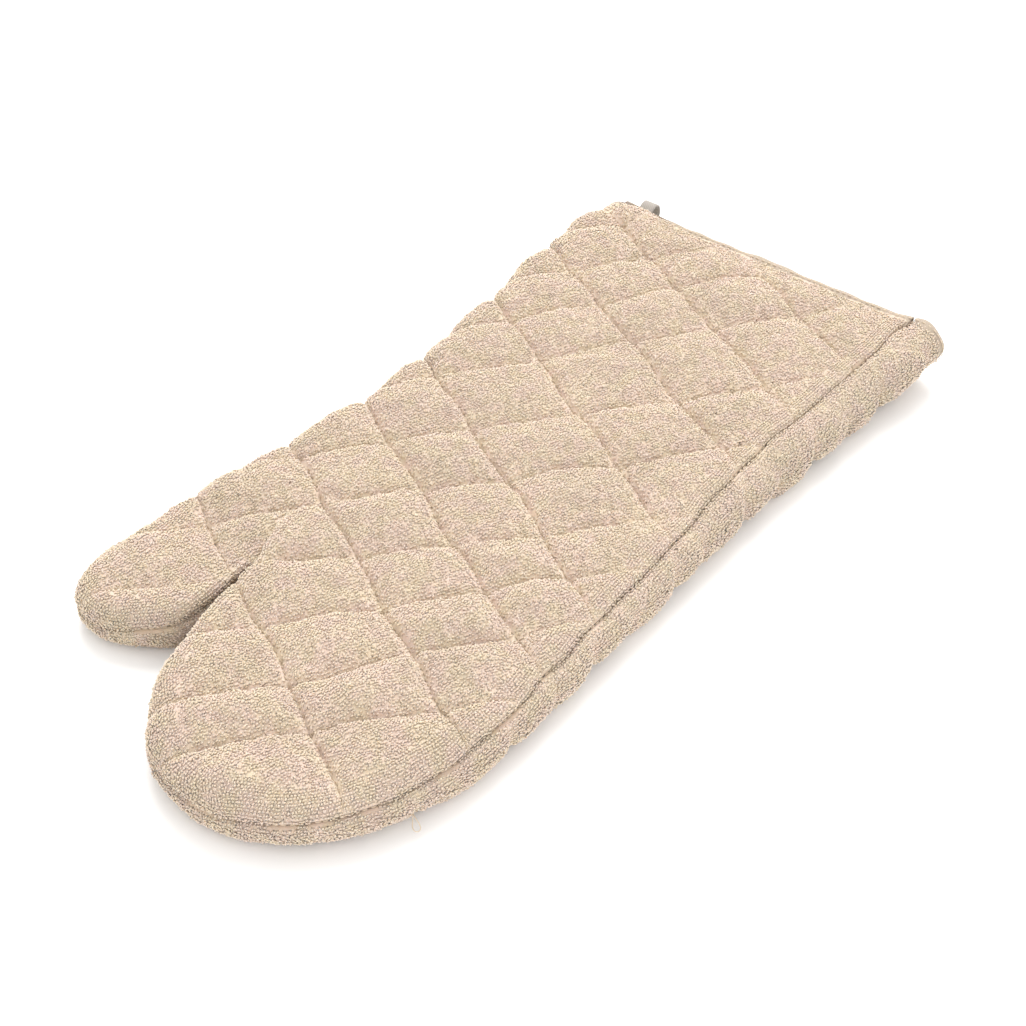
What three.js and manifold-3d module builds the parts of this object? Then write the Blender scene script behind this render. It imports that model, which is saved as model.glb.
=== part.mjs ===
// A quilted terry oven mitt that lies flat, back of the hand upwards.
//
// Each side of the mitt is a quilted panel of three cloths: looped terry outside, batting in the middle and
// a plain lining inside, held together by crossing rows of lockstitch. The two panels are sewn together
// along one side seam that runs from the cuff, round the fingers and the thumb, and back to the cuff. Its
// edges are turned in and overlocked. Each panel's cuff edge is bound with a folded tape, and a small tape
// loop at the thumb side of the cuff hangs the mitt on a hook.
//
// Millimetres. X runs across the palm with the thumb at -X, Y from the fingertips to the cuff, Z up.
// The mitt is drawn from a point in its palm, and moved at the end so that its origin is in the middle of
// its bounds, on the surface that it lies on.

import * as THREE from "three";
import { mergeVertices } from "three/addons/utils/BufferGeometryUtils.js";
import Module from "manifold-3d";

// --- driving dimensions -------------------------------------------------------------------------------

const TIP_Y = -214; // end of the fingers
const CUFF_Y = 216; // cut edge of the cloth at the cuff
const TIP_HEIGHT = 25; // height of the mitt at the end of the fingers
const CUFF_HEIGHT = 30; // and at the cuff

const GAP = 0.3; // between pieces that touch
const CLOTH_GAP = 0.5; // between the layers of a panel, which bend together
const TERRY = 3; // cloth thicknesses
const BATTING = 3.6;
const LINING = 0.8;
const TAPE = 0.8;
const THREAD = 0.8;

// The edge of the mitt as it lies, from the cuff down the little-finger side, round the fingertips, up to
// the crotch, round the thumb and up to the cuff: x, y, the height of the side seam on the rounded edge as
// an angle (90 is the top, -90 the underside), and the width of that rounded edge. The mitt lies rolled
// over a little, so the seam climbs onto the top at the little-finger side and goes under at the other.
const OUTLINE = [
  [81, 224, 77, 15],
  [80, 176, 76, 15],
  [77, 90, 69, 15],
  [77, 5, 57, 15],
  [78, -60, 47, 15],
  [79, -108, 39, 15],
  [76, -146, 32, 14],
  [64, -180, 26, 13],
  [42, -204, 20, 13],
  [12, TIP_Y, 14, 13],
  [-18, -206, 10, 13],
  [-40, -184, 6, 12],
  [-53, -156, 2, 11],
  [-59, -128, 0, 10],
  [-64, -101, 0, 10],
  [-66.5, -95, -1, 10],
  [-69, -101, -2, 10],
  [-68.5, -124, -5, 10],
  [-73, -149, -9, 10],
  [-84, -164, -13, 11],
  [-100, -167, -16, 11],
  [-115, -156, -18, 11],
  [-124, -133, -20, 12],
  [-126, -105, -24, 13],
  [-121, -60, -33, 14],
  [-112, -15, -43, 15],
  [-109, 35, -53, 15],
  [-111, 95, -64, 15],
  [-118, 172, -75, 15],
  [-121, 224, -77, 15],
];
const STEPS_PER_POINT = 1;
const RIM_FACETS = 4; // facets of the rounded edge, from the seam to the flat
const SMALLEST_STEP = 0.05; // between points that would otherwise meet

// Rows of quilting: the direction of each set in degrees, and each row's distance from the origin.
const FRONT_QUILTING = [
  { angle: -30, rows: [-132, -82, -40, -4, 46, 92, 134, 176] },
  { angle: 52, rows: [-120, -83, -57, -27, 13.5, 49, 96, 126, 160] },
];
const BACK_QUILTING = [
  { angle: -38, rows: [-126, -82, -38, 6, 50, 94, 138, 182] },
  { angle: 50, rows: [-112, -76, -40, -4, 32, 68, 104, 140] },
];
const CHANNEL_WIDTH = 2.4;
const CHANNEL_DEPTH = 1.9;

const ALLOWANCE = 12.4; // how far the seam's turned-in edges reach into the mitt
const ALLOWANCE_THICKNESS = 2;
const ALLOWANCE_END_Y = 204; // they stop short of the cuff binding
const ALLOWANCE_DEPTH = 2.6; // where they leave the terry's outer face
const SEAM_HALF_GAP = 0.7; // half of the gap between the two panels, where the seam's stitches show
const SEAM_THREAD_DEPTH = 2;
const OVERLOCK_DEPTH = 11.4;

const BINDING_WIDTH = 10; // of the tape that shows on each face
const BINDING_RECESS = 2.2; // how far the terry is pressed down under the tape
const BINDING_STITCH_INSET = 2;

const LOOP_X = -97; // middle of the hanging loop, beside the seam's end
const LOOP_TAPE_WIDTH = 8;
const LOOP_TAPE = 1.2;
const LOOP_LENGTH = 18;
const LOOP_HEIGHT = 10;
const LOOP_SWING_GAP = 1.4; // between the cuff and the free part of the loop, so that it can swing
const LOOP_SEWN_LENGTH = 9;
const BARTACK_STITCHES = 4;

// --- derived dimensions -------------------------------------------------------------------------------

const BATTING_DEPTH = TERRY + CLOTH_GAP; // depths are measured inwards from the outer face of the terry
const LINING_DEPTH = BATTING_DEPTH + BATTING + CLOTH_GAP;
const PANEL = LINING_DEPTH + LINING;
const BINDING_DEPTH = BINDING_RECESS - GAP - TAPE;
const BINDING_INNER_DEPTH = PANEL + GAP + TAPE;
const BINDING_END_Y = CUFF_Y + GAP + TAPE;
const BINDING_START_Y = CUFF_Y - BINDING_WIDTH;
const LAYER_START = SEAM_HALF_GAP + ALLOWANCE_THICKNESS + CLOTH_GAP;
const LOOP_Z = BINDING_INNER_DEPTH + GAP + LOOP_TAPE;
const FRONT = 1;
const BACK = -1;
const FAR = 400; // beyond every part of the mitt

const colours = {
  terry: new THREE.MeshStandardMaterial({ color: 0xdec8b0, roughness: 0.95, metalness: 0 }),
  batting: new THREE.MeshStandardMaterial({ color: 0xf1ece2, roughness: 1, metalness: 0 }),
  lining: new THREE.MeshStandardMaterial({ color: 0xe3d3bd, roughness: 0.85, metalness: 0 }),
  tape: new THREE.MeshStandardMaterial({ color: 0xd8c6ae, roughness: 0.8, metalness: 0 }),
  thread: new THREE.MeshStandardMaterial({ color: 0xcdb99e, roughness: 0.6, metalness: 0 }),
};

const wasm = await Module();
wasm.setup();

const mitt = new THREE.Group();

// --- solids -------------------------------------------------------------------------------------------

/** A closed solid from points and triangles. */
function solidFrom(points, triangles) {
  const vertProperties = new Float32Array(points.flatMap((p) => [p.x, p.y, p.z]));
  const triVerts = new Uint32Array(triangles.flat());
  return new wasm.Manifold(new wasm.Mesh({ numProp: 3, vertProperties, triVerts }));
}

/** A closed solid from a three.js geometry, placed by a matrix. */
function solidFromGeometry(geometry, matrix = new THREE.Matrix4()) {
  const bare = geometry.clone().applyMatrix4(matrix);
  bare.deleteAttribute("normal");
  bare.deleteAttribute("uv");
  const merged = mergeVertices(bare);
  const { array } = merged.attributes.position;
  return new wasm.Manifold(
    new wasm.Mesh({ numProp: 3, vertProperties: array, triVerts: new Uint32Array(merged.index.array) }),
  );
}

/** A box between two corners. */
function box(low, high) {
  const size = high.map((value, i) => value - low[i]);
  const middle = high.map((value, i) => (value + low[i]) / 2);
  return solidFromGeometry(new THREE.BoxGeometry(...size), new THREE.Matrix4().makeTranslation(...middle));
}

/** Everything between two places along the mitt. */
const between = (lowY, highY) => box([-FAR, lowY, -FAR], [FAR, highY, FAR]);

/** The biggest body of a solid that may have come apart. */
function biggest(solid) {
  return solid.decompose().reduce((best, body) => (body.volume() > best.volume() ? body : best));
}

/** Adds a solid to the mitt as a named mesh. */
function add(name, solid, material) {
  const { vertProperties, triVerts, numProp } = solid.getMesh();
  const positions = new Float32Array((vertProperties.length / numProp) * 3);
  for (let i = 0; i < positions.length / 3; i += 1) {
    positions.set(vertProperties.subarray(i * numProp, i * numProp + 3), i * 3);
  }
  const geometry = new THREE.BufferGeometry();
  geometry.setAttribute("position", new THREE.BufferAttribute(positions, 3));
  geometry.setIndex(new THREE.BufferAttribute(triVerts, 1));
  geometry.computeVertexNormals();
  const mesh = new THREE.Mesh(geometry, material);
  mesh.name = name;
  mitt.add(mesh);
}

// --- the shape of the mitt ----------------------------------------------------------------------------

/** Half the mitt's height at a place along it. */
function halfHeight(y) {
  const share = (y - TIP_Y) / (CUFF_Y - TIP_Y);
  return (TIP_HEIGHT + (CUFF_HEIGHT - TIP_HEIGHT) * share) / 2;
}

/** Stations along the edge: place, inward direction, seam angle in radians and width of the rounded edge. */
function edgeStations() {
  const curve = new THREE.CatmullRomCurve3(OUTLINE.map(([x, y]) => new THREE.Vector3(x, y, 0)));
  const spans = OUTLINE.length - 1;
  return Array.from({ length: spans * STEPS_PER_POINT + 1 }, (_, i) => {
    const t = i / (spans * STEPS_PER_POINT);
    const { x, y } = curve.getPoint(t);
    const along = curve.getTangent(t);
    const from = Math.min(Math.floor(t * spans), spans - 1);
    const share = t * spans - from;
    const seam = THREE.MathUtils.lerp(OUTLINE[from][2], OUTLINE[from + 1][2], share);
    const rim = THREE.MathUtils.lerp(OUTLINE[from][3], OUTLINE[from + 1][3], share);
    return { x, y, inX: along.y, inY: -along.x, seam: THREE.MathUtils.degToRad(seam), rim };
  });
}

const stations = edgeStations();

/** A point of a layer at an angle round its rounded edge, or past that edge on its flat. */
function edgePoint({ x, y, inX, inY, rim }, depth, angle, past = 0) {
  const inwards = rim - (rim - depth) * Math.cos(angle) + past;
  const point = new THREE.Vector3(x + inX * inwards, y + inY * inwards, 0);
  const half = halfHeight(point.y);
  point.z = half + (half - depth) * Math.sin(angle);
  return point;
}

/** The length of one facet of a layer's rounded edge, from the seam to the flat. */
function facetLength({ y, rim, seam }, side, depth) {
  const radius = Math.max((rim + halfHeight(y)) / 2 - depth, 1);
  return (radius * (Math.PI / 2 - side * seam)) / RIM_FACETS;
}

/** A point of a layer at a distance from the seam, over the facets of the rounded edge and on to the flat. */
function layerPoint(station, side, depth, distance) {
  const flat = (side * Math.PI) / 2;
  const facets = distance / facetLength(station, side, depth);
  if (facets >= RIM_FACETS) {
    return edgePoint(station, depth, flat, distance * (1 - RIM_FACETS / facets));
  }
  const from = Math.max(Math.floor(facets), 0);
  const corner = (k) => edgePoint(station, depth, THREE.MathUtils.lerp(station.seam, flat, k / RIM_FACETS));
  return corner(from).lerp(corner(from + 1), facets - from);
}

/** A point by the seam: its depth along the turned-in edges, and its distance from the seam's plane. */
function seamPoint(station, depth, off) {
  const { inX, inY, seam } = station;
  const point = edgePoint(station, depth, seam);
  const across = new THREE.Vector3(inX * Math.sin(seam), inY * Math.sin(seam), Math.cos(seam));
  return point.addScaledVector(across, off);
}

/** Two triangles for each step along both of two rows of point numbers. */
const strip = (a, b) => a.slice(1).flatMap((_, i) => [[a[i], a[i + 1], b[i + 1]], [a[i], b[i + 1], b[i]]]);

/** Upward triangles that fill the polygon of the numbered points. */
function fill(points, numbers) {
  const flat = numbers.map((n) => new THREE.Vector2(points[n].x, points[n].y));
  return THREE.ShapeUtils.triangulateShape(flat, []).map((face) => face.map((i) => numbers[i]));
}

/** Triangles with their faces turned round. */
const turnedRound = (triangles) => triangles.map(([a, b, c]) => [a, c, b]);

/**
 * One whole layer of a panel, from an outer to an inner depth, beginning at a distance from the seam. Rings
 * of points follow the rounded edge from the seam to the flat, and the flat is filled across.
 */
function layer(side, outer, inner, start) {
  const rings = [];
  const points = [];
  const ring = (depth, k) => {
    rings.push(
      stations.map((station) => {
        const distance = Math.max(facetLength(station, side, depth) * k, start + SMALLEST_STEP * k);
        points.push(layerPoint(station, side, depth, distance));
        return points.length - 1;
      }),
    );
  };
  for (let k = 0; k <= RIM_FACETS; k += 1) ring(outer, k);
  for (let k = RIM_FACETS; k >= 0; k -= 1) ring(inner, k);
  const next = (i) => rings[(i + 1) % rings.length];
  const walls = rings.flatMap((row, i) => (i === RIM_FACETS ? [] : strip(row, next(i))));
  const outerFlat = fill(points, rings[RIM_FACETS]);
  const innerFlat = fill(points, rings[RIM_FACETS + 1]);
  const right = rings.map((row) => row[0]);
  const left = rings.map((row) => row.at(-1));
  const outerEnd = [...right.slice(0, RIM_FACETS + 1), ...left.slice(0, RIM_FACETS + 1).reverse()];
  const innerEnd = [...right.slice(RIM_FACETS + 1).reverse(), ...left.slice(RIM_FACETS + 1)];
  walls.push(...strip(outerEnd, innerEnd));
  const up = side === FRONT;
  return solidFrom(points, [
    ...(up ? turnedRound(walls) : walls),
    ...(up ? outerFlat : turnedRound(outerFlat)),
    ...(up ? turnedRound(innerFlat) : innerFlat),
  ]);
}

/** A closed profile of [depth, distance from the seam's plane] corners carried along the whole seam. */
function seamSweep(corners) {
  const flat = corners.map(([depth, off]) => new THREE.Vector2(depth, off));
  const profile = THREE.ShapeUtils.isClockWise(flat) ? [...corners].reverse() : corners;
  const points = stations.flatMap((station) => profile.map(([depth, off]) => seamPoint(station, depth, off)));
  const row = (k) => stations.map((_, i) => i * profile.length + (k % profile.length));
  const walls = profile.flatMap((_, k) => strip(row(k), row(k + 1)));
  const cap = fill(profile.map(([x, y]) => ({ x, y })), profile.map((_, k) => k));
  const last = (stations.length - 1) * profile.length;
  return solidFrom(points, [...walls, ...cap, ...turnedRound(cap).map((face) => face.map((i) => i + last))]);
}

/** Upright slabs along every row of quilting, of the given width. */
function quiltingSlabs(sets, width) {
  const slabs = sets.flatMap(({ angle, rows }) =>
    rows.map((row) => {
      const turn = new THREE.Matrix4().makeRotationZ(THREE.MathUtils.degToRad(angle));
      const shift = new THREE.Matrix4().makeTranslation(0, row, 0);
      return solidFromGeometry(new THREE.BoxGeometry(2 * FAR, width, FAR), turn.multiply(shift));
    }),
  );
  return slabs.reduce((all, slab) => all.add(slab));
}

// --- the pieces ---------------------------------------------------------------------------------------

const cloth = between(-FAR, CUFF_Y);
const besideBinding = between(-FAR, ALLOWANCE_END_Y);

/** The terry of one panel: quilting channels, an edge turned in at the seam, and pressed thin at the cuff. */
function terryPanel(side, quilting) {
  const near = side * SEAM_HALF_GAP;
  const far = side * (SEAM_HALF_GAP + ALLOWANCE_THICKNESS);
  const turnedIn = seamSweep([
    [ALLOWANCE_DEPTH, near],
    [ALLOWANCE, near],
    [ALLOWANCE, far],
    [ALLOWANCE_DEPTH, far],
  ]);
  const skin = layer(side, -1, CHANNEL_DEPTH, -1);
  const channels = skin.intersect(quiltingSlabs(quilting, CHANNEL_WIDTH));
  const pressed = layer(side, -1, BINDING_RECESS, -1).intersect(between(BINDING_START_Y - GAP, FAR));
  const sheet = layer(side, 0, TERRY, SEAM_HALF_GAP).intersect(cloth).subtract(channels).subtract(pressed);
  return biggest(sheet.add(turnedIn.intersect(besideBinding)));
}

/** The rows of quilting stitches of one panel, a net of thread in the terry's channels. */
function quiltingThread(side, quilting) {
  const bottom = CHANNEL_DEPTH - CLOTH_GAP;
  const sheet = layer(side, bottom - THREAD, bottom, SEAM_HALF_GAP + THREAD);
  return biggest(sheet.intersect(quiltingSlabs(quilting, THREAD)).intersect(between(-FAR, BINDING_START_Y)));
}

/** The tape folded over the panel's cuff edge. */
function cuffBinding(side) {
  const whole = layer(side, BINDING_DEPTH, BINDING_INNER_DEPTH, SEAM_HALF_GAP);
  const inside = layer(side, BINDING_DEPTH + TAPE, BINDING_INNER_DEPTH - TAPE, -GAP);
  return whole
    .intersect(between(BINDING_START_Y, BINDING_END_Y))
    .subtract(inside.intersect(between(-FAR, BINDING_END_Y - TAPE)));
}

/** The row of lockstitch that holds the binding. */
function bindingThread(side) {
  const y = BINDING_START_Y + BINDING_STITCH_INSET;
  return layer(side, GAP, BINDING_DEPTH - GAP, SEAM_HALF_GAP).intersect(between(y, y + THREAD));
}

/** The overlock thread: a channel over the tips of both turned-in edges. */
function overlockThread() {
  const inside = SEAM_HALF_GAP + ALLOWANCE_THICKNESS + GAP;
  const outside = inside + THREAD;
  const tip = ALLOWANCE + GAP;
  return seamSweep([
    [OVERLOCK_DEPTH, -outside],
    [OVERLOCK_DEPTH, -inside],
    [tip, -inside],
    [tip, inside],
    [OVERLOCK_DEPTH, inside],
    [OVERLOCK_DEPTH, outside],
    [tip + THREAD, outside],
    [tip + THREAD, -outside],
  ]).intersect(besideBinding);
}

/** The stitches that close the side seam, between the two panels. */
function sideSeamThread() {
  const half = THREAD / 2;
  const deep = SEAM_THREAD_DEPTH + THREAD;
  return seamSweep([
    [SEAM_THREAD_DEPTH, -half],
    [deep, -half],
    [deep, half],
    [SEAM_THREAD_DEPTH, half],
  ]).intersect(besideBinding);
}

/** A point of the hanging loop's teardrop, at an angle round it and offset outwards. */
function loopPoint(angle, offset) {
  const at = (t) => {
    const bulge = Math.sin(t) * Math.pow(Math.sin(t / 2), 1.5) / 0.7;
    return new THREE.Vector2((LOOP_LENGTH * (1 - Math.cos(t))) / 2, (LOOP_HEIGHT / 2) * bulge);
  };
  const along = at(angle + 0.01).sub(at(angle - 0.01)).normalize();
  return at(angle).add(new THREE.Vector2(-along.y, along.x).multiplyScalar(offset));
}

/** The free part of the hanging loop, a teardrop of tape that stands on edge behind the cuff. */
function hangingLoop() {
  const half = LOOP_TAPE / 2;
  const round = (from, steps, offset) =>
    Array.from({ length: steps + 1 }, (_, i) => loopPoint(from + (2 * (Math.PI - from) * i) / steps, offset));
  const shape = new THREE.Shape([new THREE.Vector2(0, LOOP_TAPE), ...round(0.7, 21, half)]);
  shape.lineTo(0, -LOOP_TAPE);
  shape.holes.push(new THREE.Path(round(1.15, 15, -half).reverse()));
  const geometry = new THREE.ExtrudeGeometry(shape, { depth: LOOP_TAPE_WIDTH, bevelEnabled: false });
  // The shape's x runs along the mitt's Y, its y up, and the extrusion across the mitt.
  const axes = new THREE.Matrix4().makeBasis(
    new THREE.Vector3(0, 1, 0),
    new THREE.Vector3(0, 0, 1),
    new THREE.Vector3(1, 0, 0),
  );
  axes.setPosition(LOOP_X - LOOP_TAPE_WIDTH / 2, BINDING_END_Y + LOOP_SWING_GAP, LOOP_Z);
  return solidFromGeometry(geometry, axes);
}

/** The two ends of the loop's tape, one on the other, sewn inside the cuff. */
function hangingLoopRoot() {
  const half = LOOP_TAPE_WIDTH / 2;
  const low = [LOOP_X - half, BINDING_END_Y - LOOP_SEWN_LENGTH, LOOP_Z - LOOP_TAPE];
  return box(low, [LOOP_X + half, BINDING_END_Y, LOOP_Z + LOOP_TAPE]);
}

/** The bar of close stitches that fastens the loop's ends. */
function loopBartack() {
  const z = LOOP_Z + LOOP_TAPE + GAP;
  const y = BINDING_END_Y - LOOP_SEWN_LENGTH / 2;
  const length = LOOP_TAPE_WIDTH - 2;
  const low = LOOP_X - length / 2;
  const bar = box([low, y - 1, z], [low + length, y + 1, z + THREAD / 2]);
  const stitches = Array.from({ length: BARTACK_STITCHES }, (_, i) => {
    const x = low + ((length - THREAD) * i) / (BARTACK_STITCHES - 1);
    return box([x, y - 1.6, z], [x + THREAD, y + 1.6, z + THREAD]);
  });
  return stitches.reduce((all, stitch) => all.add(stitch), bar);
}

for (const [name, side, quilting] of [
  ["front", FRONT, FRONT_QUILTING],
  ["back", BACK, BACK_QUILTING],
]) {
  add(`${name}_terry_panel`, terryPanel(side, quilting), colours.terry);
  add(
    `${name}_batting`,
    layer(side, BATTING_DEPTH, BATTING_DEPTH + BATTING, LAYER_START).intersect(cloth),
    colours.batting,
  );
  add(`${name}_lining`, layer(side, LINING_DEPTH, PANEL, LAYER_START).intersect(cloth), colours.lining);
  add(`${name}_quilting_thread`, quiltingThread(side, quilting), colours.thread);
  add(`${name}_cuff_binding`, cuffBinding(side), colours.tape);
  add(`${name}_binding_thread`, bindingThread(side), colours.thread);
}
add("side_seam_thread", sideSeamThread(), colours.thread);
add("seam_overlock_thread", overlockThread(), colours.thread);
add("hanging_loop", hangingLoop(), colours.tape);
add("hanging_loop_root", hangingLoopRoot(), colours.tape);
add("loop_bartack_thread", loopBartack(), colours.thread);

const bounds = new THREE.Box3().setFromObject(mitt);
const middle = bounds.getCenter(new THREE.Vector3());
mitt.children.forEach(({ geometry }) => geometry.translate(-middle.x, -middle.y, -bounds.min.z));

export default mitt;
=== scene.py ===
"""Looks of the quilted terry oven mitt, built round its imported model.

Each panel of the mitt is one padded mesh: a fine quilted skin of cloth with every terry loop standing on it.
Lengths are millimetres in the drawing's own coordinates, as in the part's source, until a mesh is made.
"""

import math

import bmesh
import bpy
import numpy as np
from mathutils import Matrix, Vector
from mathutils.bvhtree import BVHTree


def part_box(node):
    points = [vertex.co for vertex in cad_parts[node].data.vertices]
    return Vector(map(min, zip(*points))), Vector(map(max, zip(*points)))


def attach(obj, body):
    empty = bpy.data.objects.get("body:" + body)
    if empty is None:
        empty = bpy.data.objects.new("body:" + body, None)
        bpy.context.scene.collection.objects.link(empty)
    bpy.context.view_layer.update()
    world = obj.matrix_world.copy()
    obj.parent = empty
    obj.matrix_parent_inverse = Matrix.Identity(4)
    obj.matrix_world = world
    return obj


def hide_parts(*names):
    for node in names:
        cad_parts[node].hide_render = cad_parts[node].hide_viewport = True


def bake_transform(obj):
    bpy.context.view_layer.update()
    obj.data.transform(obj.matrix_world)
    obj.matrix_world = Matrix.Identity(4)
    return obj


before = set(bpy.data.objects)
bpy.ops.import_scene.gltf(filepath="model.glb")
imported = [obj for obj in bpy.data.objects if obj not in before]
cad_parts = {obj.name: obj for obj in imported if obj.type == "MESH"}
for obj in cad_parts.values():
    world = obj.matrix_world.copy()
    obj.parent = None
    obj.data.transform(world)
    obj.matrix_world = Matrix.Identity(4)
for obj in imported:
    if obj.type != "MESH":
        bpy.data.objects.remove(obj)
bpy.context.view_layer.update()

# --- the mitt's driving dimensions, as in the part -----------------------------------------------------

TIP_Y = -214.0
CUFF_Y = 216.0
TIP_HEIGHT = 25.0
CUFF_HEIGHT = 30.0
FRONT = 1
BACK = -1

# The edge from the cuff round the fingers and the thumb to the cuff: x, y, seam angle, width of the rim.
OUTLINE = np.array([
    (89, 224, 77, 25), (82, 176, 76, 20), (76.2, 90, 70, 17), (76.4, 5, 57, 15), (78, -60, 47, 15),
    (78.5, -108, 39, 15), (75, -146, 32, 14), (63, -180, 26, 13), (41, -204, 20, 13),
    (10, TIP_Y - 1, 14, 13), (-23, -209, 10, 13), (-45, -188, 6, 12), (-57.5, -160, 2, 10),
    (-62.8, -130, 8, 5), (-64.8, -109, 30, 3.5), (-65.4, -105, 36, 3.5), (-66.2, -109, 38, 3.5),
    (-65.8, -126, 30, 5), (-69.5, -146, 22, 7), (-82, -158, 14, 9), (-101, -164.5, 6, 10),
    (-118.5, -158, 0, 11), (-126.5, -136, -10, 12), (-124.5, -105, -22, 13), (-118.5, -60, -33, 14),
    (-109, -15, -43, 15), (-105.5, 35, -53, 15), (-108, 95, -64, 15), (-115.5, 172, -75, 15),
    (-113, 224, -77, 15),
], dtype=float)

# Rows of quilting: direction in degrees, then each row's distance from the origin and its lean, which is
# how far it drifts over 100 mm. The outermost rows only end the last cells, and carry no stitches.
FRONT_ROWS = {
    "along": (-30, [(-205, 0), (-132, 0), (-82, 2), (-40, 3), (-4, 1), (46, 2), (92, 3), (134, 5),
                    (176, 4), (222, 0)]),
    "across": (52, [(-160, 0), (-119, -2), (-85, 2), (-57, -3), (-27, -8), (12, -5), (50, -3), (94, 2),
                    (127, 5), (160, 0), (194, 0), (232, 0)]),
}
BACK_ROWS = {
    "along": (-38, [(-172, 0), (-126, 1), (-82, 0), (-38, -2), (6, 0), (50, 2), (94, 0), (138, 0),
                    (182, 1), (228, 0)]),
    "across": (50, [(-156, 0), (-112, 1), (-76, 0), (-40, -1), (-4, 2), (32, 0), (68, -2), (104, 0),
                    (140, 1), (184, 0), (226, 0)]),
}
ROWS = {FRONT: FRONT_ROWS, BACK: BACK_ROWS}

LATTICE = 1.25  # spacing of the flat cloth's grid
RIM_RINGS = 26
SHORTEST_RIM = 8.0
PILLOW_RISE = 6.2  # from a quilting row to the top of a cell
ROW_SINK = 2.9  # of the rows under the plain skin
FOLD = 3.2  # radius of the fold where a panel turns in at the seam
SEAM_GAP = 0.3
INNER_DEPTH = 6.9  # of a panel's inner face
INNER_START = 2.6  # distance from the seam where that face starts
LOOP_PITCH = 1.38
TERRY_END = 211.2  # the pile rolls over the binding's outer edge to here
TUCK_START = 213.0  # from here the skin dips under the binding
PANEL_END = 215.6
STITCH = 3.3
BINDING_START = 206.0
BINDING_END = 217.1
LOOP_DRAWN = (-97.0, 218.5)  # where the hanging loop leaves the cuff
LOOP_Z = 11.0
LOOP_RISE = 5.5  # how far the loop's tip is bent up
NOTCH = (-65.6, -104.0)  # where the thumb parts from the hand
CREASE = (-6.9, 27.0)  # from there to the end of the crease up the palm

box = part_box("hanging_loop")
ORIGIN = np.array([LOOP_DRAWN[0] - (box[0][0] + box[1][0]) * 500, LOOP_DRAWN[1] - box[0][1] * 1000, 0.0])
rng = np.random.default_rng(17)


# --- numbers over a surface ----------------------------------------------------------------------------

def smoothstep(low, high, value):
    share = np.clip((value - low) / (high - low), 0, 1)
    return share * share * (3 - 2 * share)


def unit(vectors):
    """Vectors, one in each row, at length one."""
    return vectors / np.maximum(np.linalg.norm(vectors, axis=-1, keepdims=True), 1e-9)


def ripple(x, y, wavelength, seed, waves=14):
    """Smooth noise of unit size: plane waves of about one wavelength in seeded directions, added up."""
    draw = np.random.default_rng(seed)
    angle = draw.uniform(0, math.tau, waves)
    number = math.tau / (wavelength * draw.uniform(0.7, 1.4, waves))
    phase = draw.uniform(0, math.tau, waves)
    total = np.zeros(np.shape(x))
    for a, k, p in zip(angle, number, phase):
        total += np.sin(k * (x * math.cos(a) + y * math.sin(a)) + p)
    return total / math.sqrt(waves / 2)


def blurred(values, width):
    """Values along the outline with a Gaussian run over them, ends kept."""
    reach = int(width * 3)
    kernel = np.exp(-0.5 * (np.arange(-reach, reach + 1) / width) ** 2)
    before, after = 2 * values[0] - values[reach:0:-1], 2 * values[-1] - values[-2:-reach - 2:-1]
    padded = np.concatenate([before, values, after])
    return np.convolve(padded, kernel / kernel.sum(), "valid")


def outline_stations(step=1.0):
    """A centripetal Catmull-Rom curve through the outline, resampled to even steps: x, y, inward x and y,
    seam angle in radians and rim width at each station."""
    p = OUTLINE[:, :2]
    p = np.vstack([2 * p[0] - p[1], p, 2 * p[-1] - p[-2]])
    p0, p1, p2, p3 = p[:-3], p[1:-2], p[2:-1], p[3:]
    gap = [np.sqrt(np.linalg.norm(b - a, axis=1))[:, None] for a, b in ((p0, p1), (p1, p2), (p2, p3))]
    t1 = ((p1 - p0) / gap[0] - (p2 - p0) / (gap[0] + gap[1]) + (p2 - p1) / gap[1]) * gap[1]
    t2 = ((p2 - p1) / gap[1] - (p3 - p1) / (gap[1] + gap[2]) + (p3 - p2) / gap[2]) * gap[1]
    u = np.linspace(0, 1, 60, endpoint=False)[:, None, None]
    fine = ((2 * u**3 - 3 * u**2 + 1) * p1 + (u**3 - 2 * u**2 + u) * t1
            + (3 * u**2 - 2 * u**3) * p2 + (u**3 - u**2) * t2)
    fine = np.vstack([fine.transpose(1, 0, 2).reshape(-1, 2), p2[-1:]])
    knot = np.linspace(0, len(OUTLINE) - 1, len(fine))
    length = np.concatenate([[0], np.cumsum(np.linalg.norm(np.diff(fine, axis=0), axis=1))])
    at = np.linspace(0, length[-1], int(length[-1] / step) + 1)
    columns = [np.interp(at, length, fine[:, 0]), np.interp(at, length, fine[:, 1])]
    number = np.interp(at, length, knot)
    seam = np.interp(number, np.arange(len(OUTLINE)), OUTLINE[:, 2])
    rim = np.interp(number, np.arange(len(OUTLINE)), OUTLINE[:, 3])
    x, y = (blurred(c, 2.2) for c in columns)
    seam = blurred(seam, 8) + 2.0 * ripple(at, at * 0, 34, 51)
    rim = blurred(rim, 8) + 0.3 * ripple(at, at * 0, 45, 52)
    along = unit(np.stack([np.gradient(x), np.gradient(y)], axis=1))
    return np.stack([x, y, along[:, 1], -along[:, 0], np.radians(seam), rim])


def half_height(x, y):
    """Half of the mitt's height, which grows evenly from fingertips to cuff and is less at the thumb."""
    thumb = smoothstep(-58, -78, x) * smoothstep(-60, -112, y)
    height = TIP_HEIGHT + (CUFF_HEIGHT - TIP_HEIGHT) * (y - TIP_Y) / (CUFF_Y - TIP_Y)
    return height / 2 * (1 - 0.14 * thumb)


def rim_arc(station, side):
    """Length of a panel's rounded edge, from the seam to its flat."""
    x, y, _, _, seam, rim = station
    return (rim + half_height(x, y)) / 2 * (math.pi / 2 - side * seam)


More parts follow.
